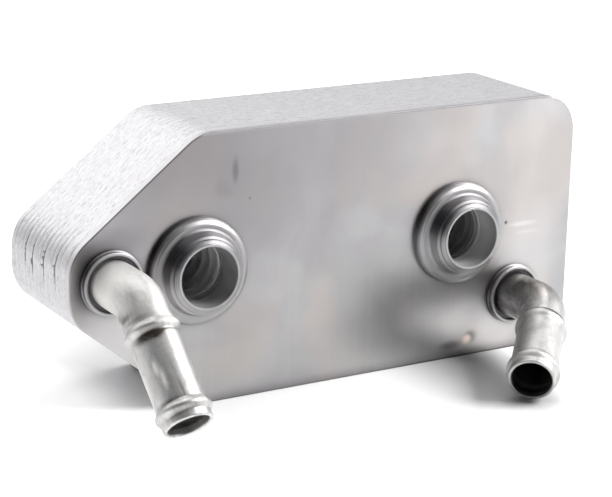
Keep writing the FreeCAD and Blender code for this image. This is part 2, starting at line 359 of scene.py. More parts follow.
# marks on the cover, with painted shade and painted light among them: (x, z), reach along x and z, strength
# and colour
MARK_DEPTH = 0.01
MARK_CORE = 0.2
COVER_MARKS_LIGHT_AND_SHADE = [
    # scuffs and a speck at the upper left
    ((-0.0445, 0.0270), (0.0038, 0.0050), 0.50, (0.23, 0.22, 0.225)),
    ((-0.0395, 0.0325), (0.0018, 0.0060), 0.90, (0.17, 0.16, 0.165)),
    ((-0.0420, 0.0255), (0.0030, 0.0030), 0.45, (0.24, 0.23, 0.235)),
    ((-0.0340, 0.0225), (0.0007, 0.0007), 0.90, (0.16, 0.15, 0.15)),
    # painted shade round the left collar
    ((-0.0840, 0.0130), (0.0160, 0.0080), 0.55, (0.22, 0.21, 0.22)),
    ((-0.0930, 0.0020), (0.0075, 0.0140), 1.00, (0.10, 0.094, 0.10)),
    ((-0.0890, 0.0110), (0.0110, 0.0060), 0.60, (0.13, 0.124, 0.13)),
    # a speck by the right socket, a burnt spot at the lower edge and scratches
    ((0.0705, 0.0014), (0.0010, 0.0010), 1.00, (0.07, 0.065, 0.06)),
    ((0.0572, -0.0392), (0.0042, 0.0034), 1.00, (0.05, 0.042, 0.038)),
    ((0.0485, -0.0412), (0.0065, 0.0024), 0.75, (0.16, 0.14, 0.13)),
    ((0.0556, -0.0400), (0.0028, 0.0026), 1.00, (0.80, 0.63, 0.58)),
    ((0.0780, 0.0002), (0.0085, 0.0014), 0.60, (0.62, 0.62, 0.62)),
    ((0.0800, -0.0030), (0.0070, 0.0010), 0.45, (0.60, 0.60, 0.60)),
    # wide warm stains
    ((-0.0060, -0.0180), (0.0090, 0.0200), 0.35, (0.50, 0.455, 0.43)),
    ((-0.0400, -0.0330), (0.0200, 0.0130), 0.35, (0.46, 0.425, 0.39)),
    # painted shade below the right socket, then painted light beside it
    ((0.0250, -0.0340), (0.0160, 0.0100), 0.12, (0.30, 0.285, 0.27)),
    ((0.0380, -0.0300), (0.0260, 0.0140), 0.35, (0.56, 0.55, 0.54)),
    # darker patches along the top edge, at the upper middle and at the lower left
    ((0.0060, 0.0440), (0.0650, 0.0140), 0.40, (0.30, 0.29, 0.305)),
    ((0.0020, 0.0310), (0.0450, 0.0230), 0.28, (0.28, 0.27, 0.28)),
    ((-0.0450, -0.0300), (0.0200, 0.0160), 0.18, (0.28, 0.26, 0.25)),
    # painted light to the right of the right stub
    ((0.0820, -0.0120), (0.0180, 0.0300), 0.45, (0.58, 0.575, 0.575)),
    # a lighter patch low at the left end
    ((-0.0830, -0.0200), (0.0200, 0.0180), 0.50, (0.62, 0.61, 0.61)),
    # painted light below and beside the right stub
    ((0.0680, -0.0400), (0.0170, 0.0120), 0.70, (0.64, 0.63, 0.62)),
    ((0.0480, -0.0340), (0.0120, 0.0070), 0.45, (0.56, 0.55, 0.54)),
]
# the cover's edges: where the sheared edge begins, and where painted shade begins on the upper front
# corner, over its highlight, and on the lower front edge
SHEARED_FROM = (FRONT + 0.0003, FRONT + 0.0008)
UPPER_FROM = (0.0449, 0.0454)
UPPER_DEPTH = (FRONT + 0.0006, FRONT + 0.0012)
LOWER_FROM = (-0.0452, -0.0457)
LOWER_ALONG = (0.005, 0.040)
UPPER_ROUGH = 0.72


def cover_material():
    """Rolled aluminium sheet: fine upright drawing lines, faint stains and a few marks, with painted shade
    in corners, on the upper left, round the left collar and along the upper and lower front edges, and
    painted light and shade about the right stub.
    """
    line_dark = (0.400, 0.394, 0.400)
    line_light = (0.428, 0.422, 0.428)
    band_light = (0.48, 0.472, 0.48)
    cloud_dark = (0.33, 0.322, 0.33)
    patch_light = (0.49, 0.485, 0.49)
    stain_warm = (0.44, 0.40, 0.378)
    sheared_light = (0.66, 0.652, 0.66)
    upper_corner_shade = (0.36, 0.35, 0.36)
    lower_edge_shade = (0.07, 0.065, 0.065)

    n = Nodes("cover_sheet")
    place = n.place()
    lines = n.noise(place, (900.0, 200.0, 14.0), 4.0, 0.6)
    bands = n.noise(place, (130.0, 60.0, 5.0), 2.0, 0.5)
    clouds = n.noise(place, (24.0, 24.0, 20.0), 3.0, 0.5, 0.8)
    patches = n.noise(place, (60.0, 60.0, 70.0), 2.0, 0.45, 0.2)
    warm = n.noise(place, (30.0, 30.0, 22.0), 2.0, 0.5, 0.8)
    grain = n.noise(place, (2600.0, 2600.0, 1800.0), 2.0, 0.6)
    color = n.blend(n.spread(lines), line_dark, line_light)
    color = n.blend(n.remap(bands, (0.35, 0.65), (0.0, 0.08)), color, band_light)
    color = n.blend(n.remap(clouds, (0.38, 0.62), (0.0, 0.60), True), color, cloud_dark)
    color = n.blend(n.remap(patches, (0.45, 0.75), (0.0, 0.42), True), color, patch_light)
    color = n.blend(n.remap(warm, (0.44, 0.66), (0.0, 0.60), True), color, stain_warm)
    # painted shade on the cover's upper left
    centre, reach, strength, tint = COVER_UPPER_LEFT_SHADE
    color = n.blend(n.math("MULTIPLY", n.spot(place, centre, reach), strength), color, tint)
    # marks, painted shade and painted light on the cover
    for centre, reach, strength, tint in COVER_MARKS_LIGHT_AND_SHADE:
        mark = n.spot(place, (centre[0], FRONT, centre[1]), (reach[0], MARK_DEPTH, reach[1]), MARK_CORE)
        color = n.blend(n.math("MULTIPLY", mark, strength), color, tint)
    # painted shade in corners and grooves
    color = n.paint_hollow_shade(color, 0.006, 0.75)

    along, depth, up = n.split(place)
    sheared = n.remap(depth, SHEARED_FROM, WHOLE)
    color = n.blend(sheared, color, sheared_light)
    # painted shade over the upper front corner's highlight, which is also made rougher
    upper = n.remap(up, UPPER_FROM, WHOLE)
    upper = n.math("MULTIPLY", upper, n.remap(depth, UPPER_DEPTH, (1.0, 0.0)))
    color = n.blend(upper, color, upper_corner_shade)
    # painted shade along the lower front edge, by the floor
    lower = n.remap(up, LOWER_FROM, (0.0, 0.75))
    lower = n.math("MULTIPLY", lower, n.remap(along, LOWER_ALONG, (0.25, 1.0)))
    color = n.blend(lower, color, lower_edge_shade)

    rough = n.math("ADD", n.spread(clouds, 0.31, 0.39), n.spread(lines, -0.02, 0.02))
    rough = n.math("ADD", rough, n.math("MULTIPLY", sheared, 0.15))
    rough = n.math("MAXIMUM", rough, n.math("MULTIPLY", upper, UPPER_ROUGH))
    normal = n.bump(lines, 0.12, 0.00004)
    normal = n.bump(grain, 0.20, 0.00002, normal)
    normal = n.bump(clouds, 0.25, 0.0006, normal)
    normal = n.bump(patches, 0.12, 0.0003, normal)
    return n.finish(color, rough, normal)


def channel_material():
    """Pressed channel sheets: grey in the open grooves, with painted shade in corners, and duller down in
    the oil galleries, where the left one is painted pale as painted light.
    """
    line_dark = (0.26, 0.255, 0.26)
    line_light = (0.33, 0.325, 0.33)
    cloud_dark = (0.21, 0.20, 0.20)
    gallery_metal = 0.2
    gallery_core = 0.7

    n = Nodes("channel_sheet")
    place = n.place()
    lines = n.noise(place, (40.0, 300.0, 700.0), 3.0, 0.6)
    clouds = n.noise(place, (60.0, 60.0, 60.0), 3.0, 0.55, 0.4)
    color = n.blend(n.spread(lines), line_dark, line_light)
    color = n.blend(n.remap(clouds, (0.4, 0.7), (0.0, 0.5), True), color, cloud_dark)
    # painted shade in corners and grooves
    color = n.paint_hollow_shade(color, 0.004, 0.95)
    gallery = 0.0
    # painted light deep in the left oil gallery
    for port, tint in GALLERY_PAINTED_TONES.items():
        x, _, z = MOUNTS[port]["pos_m"]
        deep = n.spot(place, (x, COVER_BACK, z), (GALLERY_REACH, 1.0, GALLERY_REACH), gallery_core)
        color = n.blend(deep, color, tint)
        gallery = n.math("MAXIMUM", gallery, deep)
    n.metal(gallery, 1.0, gallery_metal)
    rough = n.spread(clouds, 0.50, 0.65)
    normal = n.bump(lines, 0.25, 0.00004)
    return n.finish(color, rough, normal)


# how far inside the outline a groove between two rims is painted black as painted shade, in metres
GROOVE_SHADE_DEPTH = (0.00034, 0.00052)


def braze_material():
    """Brazed rims: pale, with filler metal frozen in short streaks and dark specks, and painted shade in
    corners and deep in the grooves between rims.
    """
    streak_dark = (0.68, 0.672, 0.683)
    streak_light = (0.78, 0.772, 0.783)
    speck_dark = (0.40, 0.39, 0.40)
    dash_dark = (0.28, 0.27, 0.28)
    cloud_dark = (0.68, 0.66, 0.675)
    groove_shade_black = (0.05, 0.047, 0.05)

    n = Nodes("braze_bead")
    run = n.place("run")
    streaks = n.noise(run, (160.0, 1500.0, 160.0), 3.0, 0.6)
    specks = n.noise(run, (520.0, 1900.0, 700.0), 3.0, 0.75)
    dashes = n.noise(run, (230.0, 2600.0, 230.0), 2.0, 0.6)
    clouds = n.noise(n.place(), (40.0, 60.0, 40.0), 2.0, 0.5)
    color = n.blend(n.remap(streaks, (0.35, 0.65), WHOLE), streak_dark, streak_light)
    color = n.blend(n.remap(specks, (0.55, 0.68), (0.0, 0.85)), color, speck_dark)
    color = n.blend(n.remap(dashes, (0.60, 0.70), (0.0, 0.75)), color, dash_dark)
    color = n.blend(n.remap(clouds, (0.4, 0.7), (0.0, 0.3)), color, cloud_dark)
    # painted shade in corners and grooves
    color = n.paint_hollow_shade(color, 0.0014, 0.70)
    _, _, inset = n.split(run)
    # painted shade deep in the grooves between rims
    color = n.blend(n.remap(inset, GROOVE_SHADE_DEPTH, (0.0, 0.95)), color, groove_shade_black)
    rough = n.spread(specks, 0.42, 0.60)
    normal = n.bump(streaks, 0.35, 0.00010)
    normal = n.bump(specks, 0.45, 0.00008, normal)
    return n.finish(color, rough, normal)


def turned_material(name, light, dark, rough_range, wall_deep, wall_mouth):
    """Turned aluminium dulled by the brazing oven: faint rings along the profile, and smears, with painted
    shade in corners and on chosen sides, painted light deep in the sockets' bores and painted shade deep in
    the collars' recesses.
    """
    smear = (0.47, 0.455, 0.455)
    side_shade_dark = (0.055, 0.051, 0.056)
    wall_metal = 0.35

    n = Nodes(name)
    ring = n.place("ring")
    lines = n.noise(ring, (4200.0, 24.0, 24.0), 3.0, 0.6)
    bands = n.noise(ring, (700.0, 40.0, 40.0), 2.0, 0.5)
    smears = n.noise(n.place(), (120.0, 120.0, 120.0), 3.0, 0.6, 0.5)
    grain = n.noise(n.place(), (2200.0, 2200.0, 2200.0), 2.0, 0.6)
    color = n.blend(n.spread(lines), dark, light)
    color = n.blend(n.remap(smears, (0.45, 0.75), (0.0, 0.5)), color, smear)
    # painted shade in corners and grooves
    color = n.paint_hollow_shade(color, 0.005, 0.50)
    near_mouth, side_shade, bore = n.split(n.place("shade"))
    # painted shade on chosen sides
    color = n.blend(n.math("MULTIPLY", side_shade, n.spread(lines, 0.8, 1.1)), color, side_shade_dark)
    # painted light deep in the sockets' bores, painted shade deep in the collars' recesses
    color = n.blend(bore, color, n.blend(near_mouth, wall_deep, wall_mouth))
    n.metal(bore, 1.0, wall_metal)
    rough = n.math("ADD", n.spread(bands, *rough_range), n.remap(smears, (0.4, 0.7), (0.0, 0.06)))
    normal = n.bump(lines, 0.22, 0.00003)
    normal = n.bump(bands, 0.16, 0.00005, normal)
    normal = n.bump(grain, 0.12, 0.00002, normal)
    return n.finish(color, rough, normal)


def tube_material():
    """Drawn tube: pale and slightly warm, with lengthwise scratches, blotches and stained folds, painted
    shade in corners, over some highlights and in the bore, and painted light on chosen patches.
    """
    line_dark = (0.58, 0.576, 0.570)
    line_light = (0.66, 0.655, 0.648)
    blotch_dark = (0.42, 0.41, 0.398)
    grain_dark = (0.44, 0.43, 0.415)
    stain_and_shade_dark = (0.055, 0.048, 0.038)
    painted_sheen_pale = (0.91, 0.893, 0.865)
    bore_dark = (0.16, 0.155, 0.15)
    painted_sheen_rough = 0.20

    n = Nodes("drawn_tube")
    wrap = n.place("wrap")
    stain_and_shade, painted_sheen, bore = n.split(n.place("stain_light_and_shade"))
    lines = n.noise(wrap, (1300.0, 1300.0, 40.0), 3.0, 0.6)
    blotch = n.noise(wrap, (170.0, 170.0, 110.0), 4.0, 0.65, 0.8)
    grain = n.noise(wrap, (2300.0, 2300.0, 1400.0), 3.0, 0.7)
    scratch = n.noise(wrap, (900.0, 900.0, 60.0), 2.0, 0.5)
    color = n.blend(n.spread(lines), line_dark, line_light)
    color = n.blend(n.remap(blotch, (0.42, 0.68), (0.0, 0.75), True), color, blotch_dark)
    color = n.blend(n.remap(grain, (0.55, 0.75), (0.0, 0.30)), color, grain_dark)
    # painted shade in corners and grooves
    color = n.paint_hollow_shade(color, 0.010, 0.70)
    # stains, and painted shade over some highlights
    color = n.blend(n.math("MULTIPLY", stain_and_shade, n.remap(blotch, (0.3, 0.6), (0.7, 1.05))), color, stain_and_shade_dark)
    # painted light on chosen patches, and scratches painted as bright streaks
    color = n.blend(n.math("MULTIPLY", painted_sheen, n.spread(grain, 1.0, 0.85)), color, painted_sheen_pale)
    color = n.blend(n.math("MULTIPLY", bore, 0.8), color, bore_dark)
    rough = n.math("ADD", n.spread(blotch, 0.38, 0.49), n.remap(grain, (0.4, 0.7), (0.0, 0.05)))
    rough = n.math("ADD", rough, n.remap(scratch, (0.60, 0.70), (0.0, -0.10)))
    matt = n.math("MINIMUM", n.math("MULTIPLY", painted_sheen, 1.5), painted_sheen_rough)
    rough = n.math("ADD", rough, matt)
    normal = n.bump(lines, 0.20, 0.00005)
    normal = n.bump(blotch, 0.28, 0.00030, normal)
    normal = n.bump(grain, 0.18, 0.00002, normal)
    return n.finish(color, rough, normal)


def base_material(name):
    """Plain rolled sheet with faint lines along it."""
    line_dark = (0.60, 0.595, 0.60)
    line_light = (0.68, 0.675, 0.68)
    cloud_dark = (0.55, 0.54, 0.54)

    n = Nodes(name)
    place = n.place()
    lines = n.noise(place, (12.0, 300.0, 700.0), 4.0, 0.6)
    clouds = n.noise(place, (26.0, 26.0, 26.0), 3.0, 0.55, 0.5)
    color = n.blend(n.spread(lines), line_dark, line_light)
    color = n.blend(n.remap(clouds, (0.42, 0.7), (0.0, 0.35), True), color, cloud_dark)
    rough = n.spread(clouds, 0.36, 0.50)
    normal = n.bump(lines, 0.25, 0.00004)
    normal = n.bump(clouds, 0.2, 0.0005, normal)
    return n.finish(color, rough, normal)


MATERIALS = {
    "cover_sheet": cover_material(),
    "channel_sheet": channel_material(),
    "braze_bead": braze_material(),
    "base_sheet": base_material("base_sheet"),
    "fin_sheet": base_material("fin_sheet"),
    "turned_socket": turned_material(
        "turned_socket", light=(0.41, 0.405, 0.412), dark=(0.34, 0.335, 0.342),
        rough_range=(0.42, 0.48), wall_deep=(0.75, 0.745, 0.75), wall_mouth=(0.30, 0.295, 0.30)),
    "collar": turned_material(
        "collar", light=(0.50, 0.495, 0.50), dark=(0.44, 0.435, 0.44),
        rough_range=(0.44, 0.50), wall_deep=(0.05, 0.047, 0.05), wall_mouth=(0.22, 0.215, 0.22)),
    "drawn_tube": tube_material(),
}

slot_of = {part["node"]: part["material_slot"] for part in frame["record"]["subparts"]}
for node, obj in frame["nodes"].items():
    obj.data.materials.clear()
    obj.data.materials.append(MATERIALS[slot_of[node]])

# ---- oil sockets -------------------------------------------------------------------------
# corners of each turned profile: radius, height off the cover and rounding, in mm
SOCKET_PROFILE = [
    # through the cover, and the flange
    (10.20, -3.00, 0.0), (12.00, -3.00, 0.0), (12.00, 0.00, 0.0), (18.15, 0.00, 0.05),
    (18.00, 0.50, 0.2), (18.00, 1.70, 0.6), (17.50, 2.90, 0.9), (16.30, 3.55, 0.5),
    (15.00, 3.70, 0.3), (14.20, 4.10, 0.5),
    # neck, step and lip
    (13.70, 5.60, 0.5), (13.25, 7.20, 0.3), (12.45, 7.65, 0.2), (12.25, 8.35, 0.2),
    (11.90, 8.50, 0.12), (11.20, 9.00, 0.25), (11.05, 9.40, 0.20), (10.25, 9.40, 0.22),
    # bore with its ring groove
    (10.20, 8.90, 0.1), (10.20, 5.00, 0.0), (10.20, 2.00, 0.0), (10.20, -0.60, 0.05),
    (10.70, -0.60, 0.05), (10.70, -1.40, 0.05), (10.20, -1.40, 0.05),
]
# painted shade on the sockets: on the upper left of the flange, face and neck, and on top of the neck and
# lip over their highlights
SOCKET_PAINTED_SHADE = [
    (0.0, 1.9, 17.0, 2.60, 0.55, 1.0), (1.9, 3.0, 17.0, 2.60, 0.45, 0.50),
    (4.0, 8.6, 11.0, 2.58, 0.55, 1.0), (3.3, 4.2, 13.0, 2.6, 0.50, 0.45),
    (3.6, 6.5, 11.0, 1.2, 0.95, 0.50), (6.5, 9.3, 10.9, 1.2, 0.95, 0.62),
]
SOCKET_COLUMNS = 128
# painted light deep in the sockets' bores, fully in the right one and a quarter of the way in the left
WALL_LIGHT = {"left": 0.25, "right": 1.0}
for side in SIDES:
    place = Vector(MOUNTS[f"oil_port_{side}"]["pos_m"])
    lathe(f"socket_{side}", rounded(SOCKET_PROFILE), place, SOCKET_COLUMNS, "turned_socket",
          [f"oil_socket_{side}"], SOCKET_PAINTED_SHADE, WALL_LIGHT[side])

# ---- collars of the coolant stubs --------------------------------------------------------
COLLAR_PROFILE = [
    (8.00, -3.00, 0.0), (9.50, -3.00, 0.0), (9.50, 0.00, 0.0), (10.90, 0.00, 0.05),
    (10.85, 0.60, 0.25), (10.50, 1.00, 0.25), (10.50, 2.55, 0.4), (9.35, 2.60, 0.35),
    (9.30, 1.10, 0.3), (8.00, 1.10, 0.1),
]
# painted shade on the collars' left flank and rim
COLLAR_PAINTED_SHADE = [(0.0, 1.9, 10.0, 2.75, 0.85, 0.95), (1.9, 2.6, 9.3, 2.9, 0.60, 0.35)]
COLLAR_COLUMNS = 112
# painted shade deep in the collars' recesses
COLLAR_WALL_SHADE = 1.0
for side in SIDES:
    place = middle_of(f"coolant_collar_{side}")
    lathe(f"collar_{side}", rounded(COLLAR_PROFILE), place, COLLAR_COLUMNS, "collar",
          [f"coolant_collar_{side}"], COLLAR_PAINTED_SHADE, COLLAR_WALL_SHADE)

# ---- bent coolant stubs ------------------------------------------------------------------
# sizes in mm
TUBE_RADIUS = 8.0
TUBE_BORE = 6.75
TUBE_COLUMNS = 112
BEND_RADIUS = 16.0
BEND_ANGLE = math.radians(45.0)
TANGENT = BEND_RADIUS * math.tan(BEND_ANGLE / 2)
LIP_MIDDLE = 1.525
# rolled beads: distance from the mouth, half length and rise
END_BEAD = (4.6, 2.25, 1.12)
STOP_BEAD = {"left": (32.2, 2.1, 1.0), "right": (29.6, 2.3, 1.0)}
BEAD_FULLNESS = 0.72
# rings of points: the step along the tube, a finer one near the beads, and the rounded mouth
STEP = 0.6
BEAD_STEP = 0.16
END_BEAD_REACH = 3.2
STOP_BEAD_REACH = 3.0
MOUTH_ROUND = 0.69
MOUTH_TURNS = (0, 0.4, 0.8, 1.2, math.pi / 2)
# how much of the mouth's round, the beads and the wrinkles the bore follows
BORE_ROUND_SHARE = 0.6
BORE_BEAD_SHARE = 0.35
BORE_WRINKLE_SHARE = 0.6
# the bend's flattening, and its length against the bend's arc
BEND_OVAL = 0.16
OVAL_LENGTH = 0.55
# wrinkles inside the bend: distance past its end, half length and depth, and their spread round it
WRINKLES = [(-2.6, 1.2, -0.35), (-0.6, 1.0, 0.50), (1.4, 1.0, -0.45), (3.3, 1.0, 0.55),
            (5.2, 1.0, -0.30)]
WRINKLE_SPREAD = 1.40
# the tube's waviness: rise, cycles round and along it, start per side, and length of its fading
WAVE_RISE = 0.04
WAVE_ROUND = 1.4
WAVE_ALONG = 0.16
WAVE_START = {"left": 7.0, "right": 31.0}
WAVE_FADE = 8.0
# shift of the texture along each stub in metres, and how dark its bore is
WRAP_START = {"left": 0.0, "right": 0.2}
BORE_SHADE = {"left": 0.10, "right": 0.90}
# stains and painted shade, then painted light with scratches painted as bright streaks, on the stubs:
# distance from the mouth, half length, turn, spread, amount
STAINS_AND_SHADE = {
    "left": [(28.9, 1.4, 4.00, 0.42, 1.4), (28.9, 1.3, 3.50, 0.30, 1.3), (29.6, 0.6, 2.90, 0.60, 0.8),
             (37.6, 1.0, 4.55, 0.40, 1.0), (35.5, 0.6, 4.10, 0.60, 0.5), (39.5, 1.6, 4.75, 0.30, 0.6),
             (6.9, 0.8, 4.00, 0.60, 0.75), (2.5, 0.8, 3.70, 0.80, 0.50), (42.0, 2.5, 3.75, 0.14, 0.30),
             # painted shade over a highlight
             (17.0, 12.0, 3.12, 0.17, 0.60)],
    "right": [(32.0, 0.50, 3.30, 1.60, 1.5), (27.0, 0.5, 3.60, 1.00, 0.15), (7.2, 0.5, 3.80, 1.20, 0.40),
              (50.0, 9.5, 4.50, 0.95, 0.75), (56.0, 8.0, 4.20, 1.60, 0.35),
              # painted shade over the second leg's highlights
              (15.0, 13.0, 4.30, 1.60, 0.10), (15.0, 13.0, 3.75, 0.30, 0.30),
              (15.0, 13.0, 4.90, 0.35, 0.24)],
}
PAINTED_SHEEN = {
    # painted light on the left stub; its second and third entries are scratches painted as bright streaks
    "left": [(54.0, 11.0, 4.35, 1.30, 1.2), (18.5, 2.2, 4.00, 0.08, 1.6), (14.5, 2.4, 3.84, 0.07, 1.6),
             (16.0, 11.0, 5.00, 0.50, 0.6), (33.0, 1.3, 2.70, 0.45, 0.7)],
    "right": [(14.0, 14.0, 4.10, 1.90, 0.08)],
}


def bead_height(from_mouth, bead):
    """How far a rolled bead stands out of the tube at a distance from the mouth, in mm."""
    middle, half, rise = bead
    u = abs(from_mouth - middle) / half
    if u >= 1:
        return 0.0
    return rise * (0.5 + 0.5 * math.cos(math.pi * u)) ** BEAD_FULLNESS


def stub_line(side):
    """Corner of the two legs, second leg's axis, direction of the lean, and second leg's length in mm."""
    mount = MOUNTS[f"coolant_stub_{side}"]
    axis = Vector(mount["axis"]).normalized()
    point = Vector(mount["pos_m"])
    foot = middle_of(f"coolant_collar_{side}")
    across = Vector((axis.x, 0, axis.z))
    away = Vector((point.x - foot.x, 0, point.z - foot.z)).dot(across) / across.length_squared
    return point - axis * away, axis, across.normalized(), away / MM + LIP_MIDDLE


def stub_station(line, s, first_leg):
    """Centre of the stub, in metres, and its inner direction, at the distance s from its foot in mm."""
    corner, axis, lean, _ = line
    outward = Vector((0, -1, 0))
    bend_start = first_leg - TANGENT
    arc = BEND_RADIUS * BEND_ANGLE
    if s <= bend_start:
        return corner - outward * (first_leg - s) * MM, lean
    if s >= bend_start + arc:
        along = s - bend_start - arc + TANGENT
        inner = (lean * math.cos(BEND_ANGLE) - outward * math.sin(BEND_ANGLE)).normalized()
        return corner + axis * along * MM, inner
    turn = (s - bend_start) / BEND_RADIUS
    start = corner - outward * TANGENT * MM
    pivot = start + lean * BEND_RADIUS * MM
    inner = lean * math.cos(turn) - outward * math.sin(turn)
    return pivot - inner * BEND_RADIUS * MM, inner


def patches(from_mouth, turn, table):
    """Sum of a table's soft patches at one place on a stub, up to 1."""
    total = 0.0
    for at, half, around, spread, amount in table:
        total += amount * math.exp(-((from_mouth - at) / half) ** 2 - ((turn - around) / spread) ** 2)
    return min(total, 1.0)


def stub_rings(total, stop_bead):
    """Each ring of a stub's surface: distance from the foot, radius, and whether it is in the bore."""
    stations = []
    s = 0.0
    while s < total - MOUTH_ROUND:
        stations.append(s)
        from_mouth = total - s
        near_bead = (abs(from_mouth - END_BEAD[0]) < END_BEAD_REACH
                     or abs(from_mouth - stop_bead[0]) < STOP_BEAD_REACH)
        s += BEAD_STEP if near_bead else STEP
    lip = [(total - MOUTH_ROUND + MOUTH_ROUND * math.sin(a), MOUTH_ROUND * (1 - math.cos(a)))
           for a in MOUTH_TURNS]
    rings = [(s, TUBE_RADIUS, False) for s in stations]
    rings += [(s, TUBE_RADIUS - drop, False) for s, drop in lip]
    rings += [(s, TUBE_BORE + drop * BORE_ROUND_SHARE, True) for s, drop in reversed(lip)]
    rings += [(s, TUBE_BORE, True) for s in reversed(stations)]
    return rings


def stub(side):
    """Bent tube with a rolled hose stop and end bead, wrinkles inside the bend and an open bore."""
    line = stub_line(side)
    corner, _, lean, second_leg = line
    cross = Vector((0, -1, 0)).cross(lean).normalized()
    first_leg = (COVER_BACK - corner.y) / MM
    arc = BEND_RADIUS * BEND_ANGLE
    total = first_leg - TANGENT + arc + second_leg - TANGENT
    bend_middle = first_leg - TANGENT + arc / 2
    bend_end = first_leg - TANGENT + arc
    stop_bead = STOP_BEAD[side]
    rings = stub_rings(total, stop_bead)
    verts = []
    wrap = []
    stain_light_and_shade = []
    for s, radius, is_bore in rings:
        centre, inner = stub_station(line, s, first_leg)
        from_mouth = total - s
        beads = bead_height(from_mouth, END_BEAD) + bead_height(from_mouth, stop_bead)
        in_bend = math.exp(-((s - bend_middle) / (arc * OVAL_LENGTH)) ** 2)
        for j in range(TUBE_COLUMNS):
            turn = 2 * math.pi * j / TUBE_COLUMNS
            r = radius + beads * (BORE_BEAD_SHARE if is_bore else 1.0)
            r -= BEND_OVAL * in_bend * math.cos(2 * turn)
            from_inner = min(turn, 2 * math.pi - turn)
            facing = math.exp(-(from_inner / WRINKLE_SPREAD) ** 4)
            wrinkle = sum(depth * math.exp(-((s - bend_end - at) / half) ** 2)
                          for at, half, depth in WRINKLES)
            r -= facing * wrinkle * (BORE_WRINKLE_SHARE if is_bore else 1.0)
            wave = noise.noise(Vector((math.cos(turn) * WAVE_ROUND, math.sin(turn) * WAVE_ROUND,
                                       s * WAVE_ALONG + WAVE_START[side])))
            r += WAVE_RISE * wave * min(1.0, from_mouth / WAVE_FADE)
            # stains and painted shade, and painted light, at this point
            stain_and_shade, painted_sheen = (patches(from_mouth, turn, table[side]) for table in (STAINS_AND_SHADE, PAINTED_SHEEN))
            stain_light_and_shade.append((stain_and_shade, painted_sheen, BORE_SHADE[side] if is_bore else 0.0))
            offset = inner * math.cos(turn) + cross * math.sin(turn)
            verts.append(centre + offset * r * MM)
            wrap.append((r * MM * math.cos(turn), r * MM * math.sin(turn), s * MM + WRAP_START[side]))
    faces = ring_faces(len(rings), TUBE_COLUMNS)
    return add_piece(f"stub_{side}", verts, faces, "drawn_tube", [f"coolant_elbow_{side}"],
                     {"wrap": wrap, "stain_light_and_shade": stain_light_and_shade}, TUBE_SHARP)


for side in SIDES:
    stub(side)

# ---- outline of the plates ---------------------------------------------------------------
# run along x and rise along z of each slanted left corner, and the corners' radii, in mm
UPPER_CHAMFER = (46.0, 36.1)
LOWER_CHAMFER = (43.6, 35.2)
RIGHT_RADIUS = 14.0
LEFT_RADIUS = 15.0
OUTLINE_STEP = 0.9
# the least number of steps on a rounded corner and on a side
CORNER_LEAST = 3
SIDE_LEAST = 2


def outline_stations(step):
    """Points and outward directions along the plates' rounded outline, and the run so far, in mm."""
    right = LENGTH / MM / 2
    top = HEIGHT / MM / 2
    corners = [
        ((right, -top), RIGHT_RADIUS), ((right, top), RIGHT_RADIUS),
        ((UPPER_CHAMFER[0] - right, top), LEFT_RADIUS), ((-right, top - UPPER_CHAMFER[1]), LEFT_RADIUS),
        ((-right, LOWER_CHAMFER[1] - top), LEFT_RADIUS), ((LOWER_CHAMFER[0] - right, -top), LEFT_RADIUS),
    ]
    count = len(corners)
    normals = []
    for i in range(count):
        start, end = Vector(corners[i][0]), Vector(corners[(i + 1) % count][0])
        run = (end - start).normalized()
        normals.append(Vector((run.y, -run.x)))
    arcs = []
    for i in range(count):
        point, radius = corners[i]
        bisector = (normals[i - 1] + normals[i]).normalized()
        centre = Vector(point) - bisector * (radius / bisector.dot(normals[i]))
        arcs.append((centre, radius, normals[i - 1], normals[i]))
    stations = []
    for i in range(count):
        centre, radius, before, after = arcs[i]
        angle = before.angle(after)
        pieces = max(CORNER_LEAST, round(angle * radius / step))
        for k in range(pieces + 1):
            turn = angle * k / pieces
            normal = Vector((before.x * math.cos(turn) - before.y * math.sin(turn),
                             before.x * math.sin(turn) + before.y * math.cos(turn)))
            stations.append((centre + normal * radius, normal))
        start = stations[-1][0]
        following = arcs[(i + 1) % count]
        end = following[0] + after * following[1]
        pieces = max(SIDE_LEAST, round((end - start).length / step))
        for k in range(1, pieces):
            stations.append((start.lerp(end, k / pieces), after))
    runs = []
    run = 0.0
    for i, (point, normal) in enumerate(stations):
        if i:
            run += (point - stations[i - 1][0]).length
        runs.append(run)
    return stations, runs


# ---- braze along the rims ----------------------------------------------------------------
# the channel plates' rims, as in the part's source, in mm
PITCH = 2.95
PLATES = 14
RIM_HEIGHT = 5.2
RIM_WALL = 0.55
RIM_SETBACK = 0.1
RIM_SLOPE = RIM_WALL / PITCH
RIM_BEND = 0.6
RIM_BEND_INSET = 0.55
# noise of the braze: step of its seed from plate to plate, start of the seed, cycles per mm
WIDE_NOISE = (7.3, 0, 0.05)
FINE_NOISE = (3.1, 40, 0.45)
TINY_NOISE = (5.7, 90, 1.3)
MIDDLE_NOISE = (2.3, 17, 0.8)
# width of the groove in front of a band, in mm: the least, and what its noises add
SEAM_LEAST = 0.02
SEAM_NOISE = 0.10
# seams that stand open by the left end, and how wide, on a patch of the given centre and reach
OPEN_SEAMS = {3: 1.10, 4: 0.35, 6: 1.15, 7: 0.3, 9: 1.15, 11: 1.0, 12: 0.3}
SEAM_CENTRE = (-97.5, 4.0)
SEAM_REACH = (4.5, 5.5)
SEAM_SHIFT = 1.3
SEAM_PHASE = 2.0
# an open seam's share off and on its patch, and how uneven it is
OPEN_OFF = 0.04
OPEN_ON = 1.70
OPEN_EVEN = 0.80
OPEN_NOISE = 0.7
# the cover's own seam is open on the left face only: its least width, how much it opens, noise
COVER_SEAM_LEAST = 0.04
COVER_SEAM_OPEN = 0.42
COVER_SEAM_NOISE = 0.12
COVER_SEAM_FROM = 91.0
COVER_SEAM_RAMP = 5.0
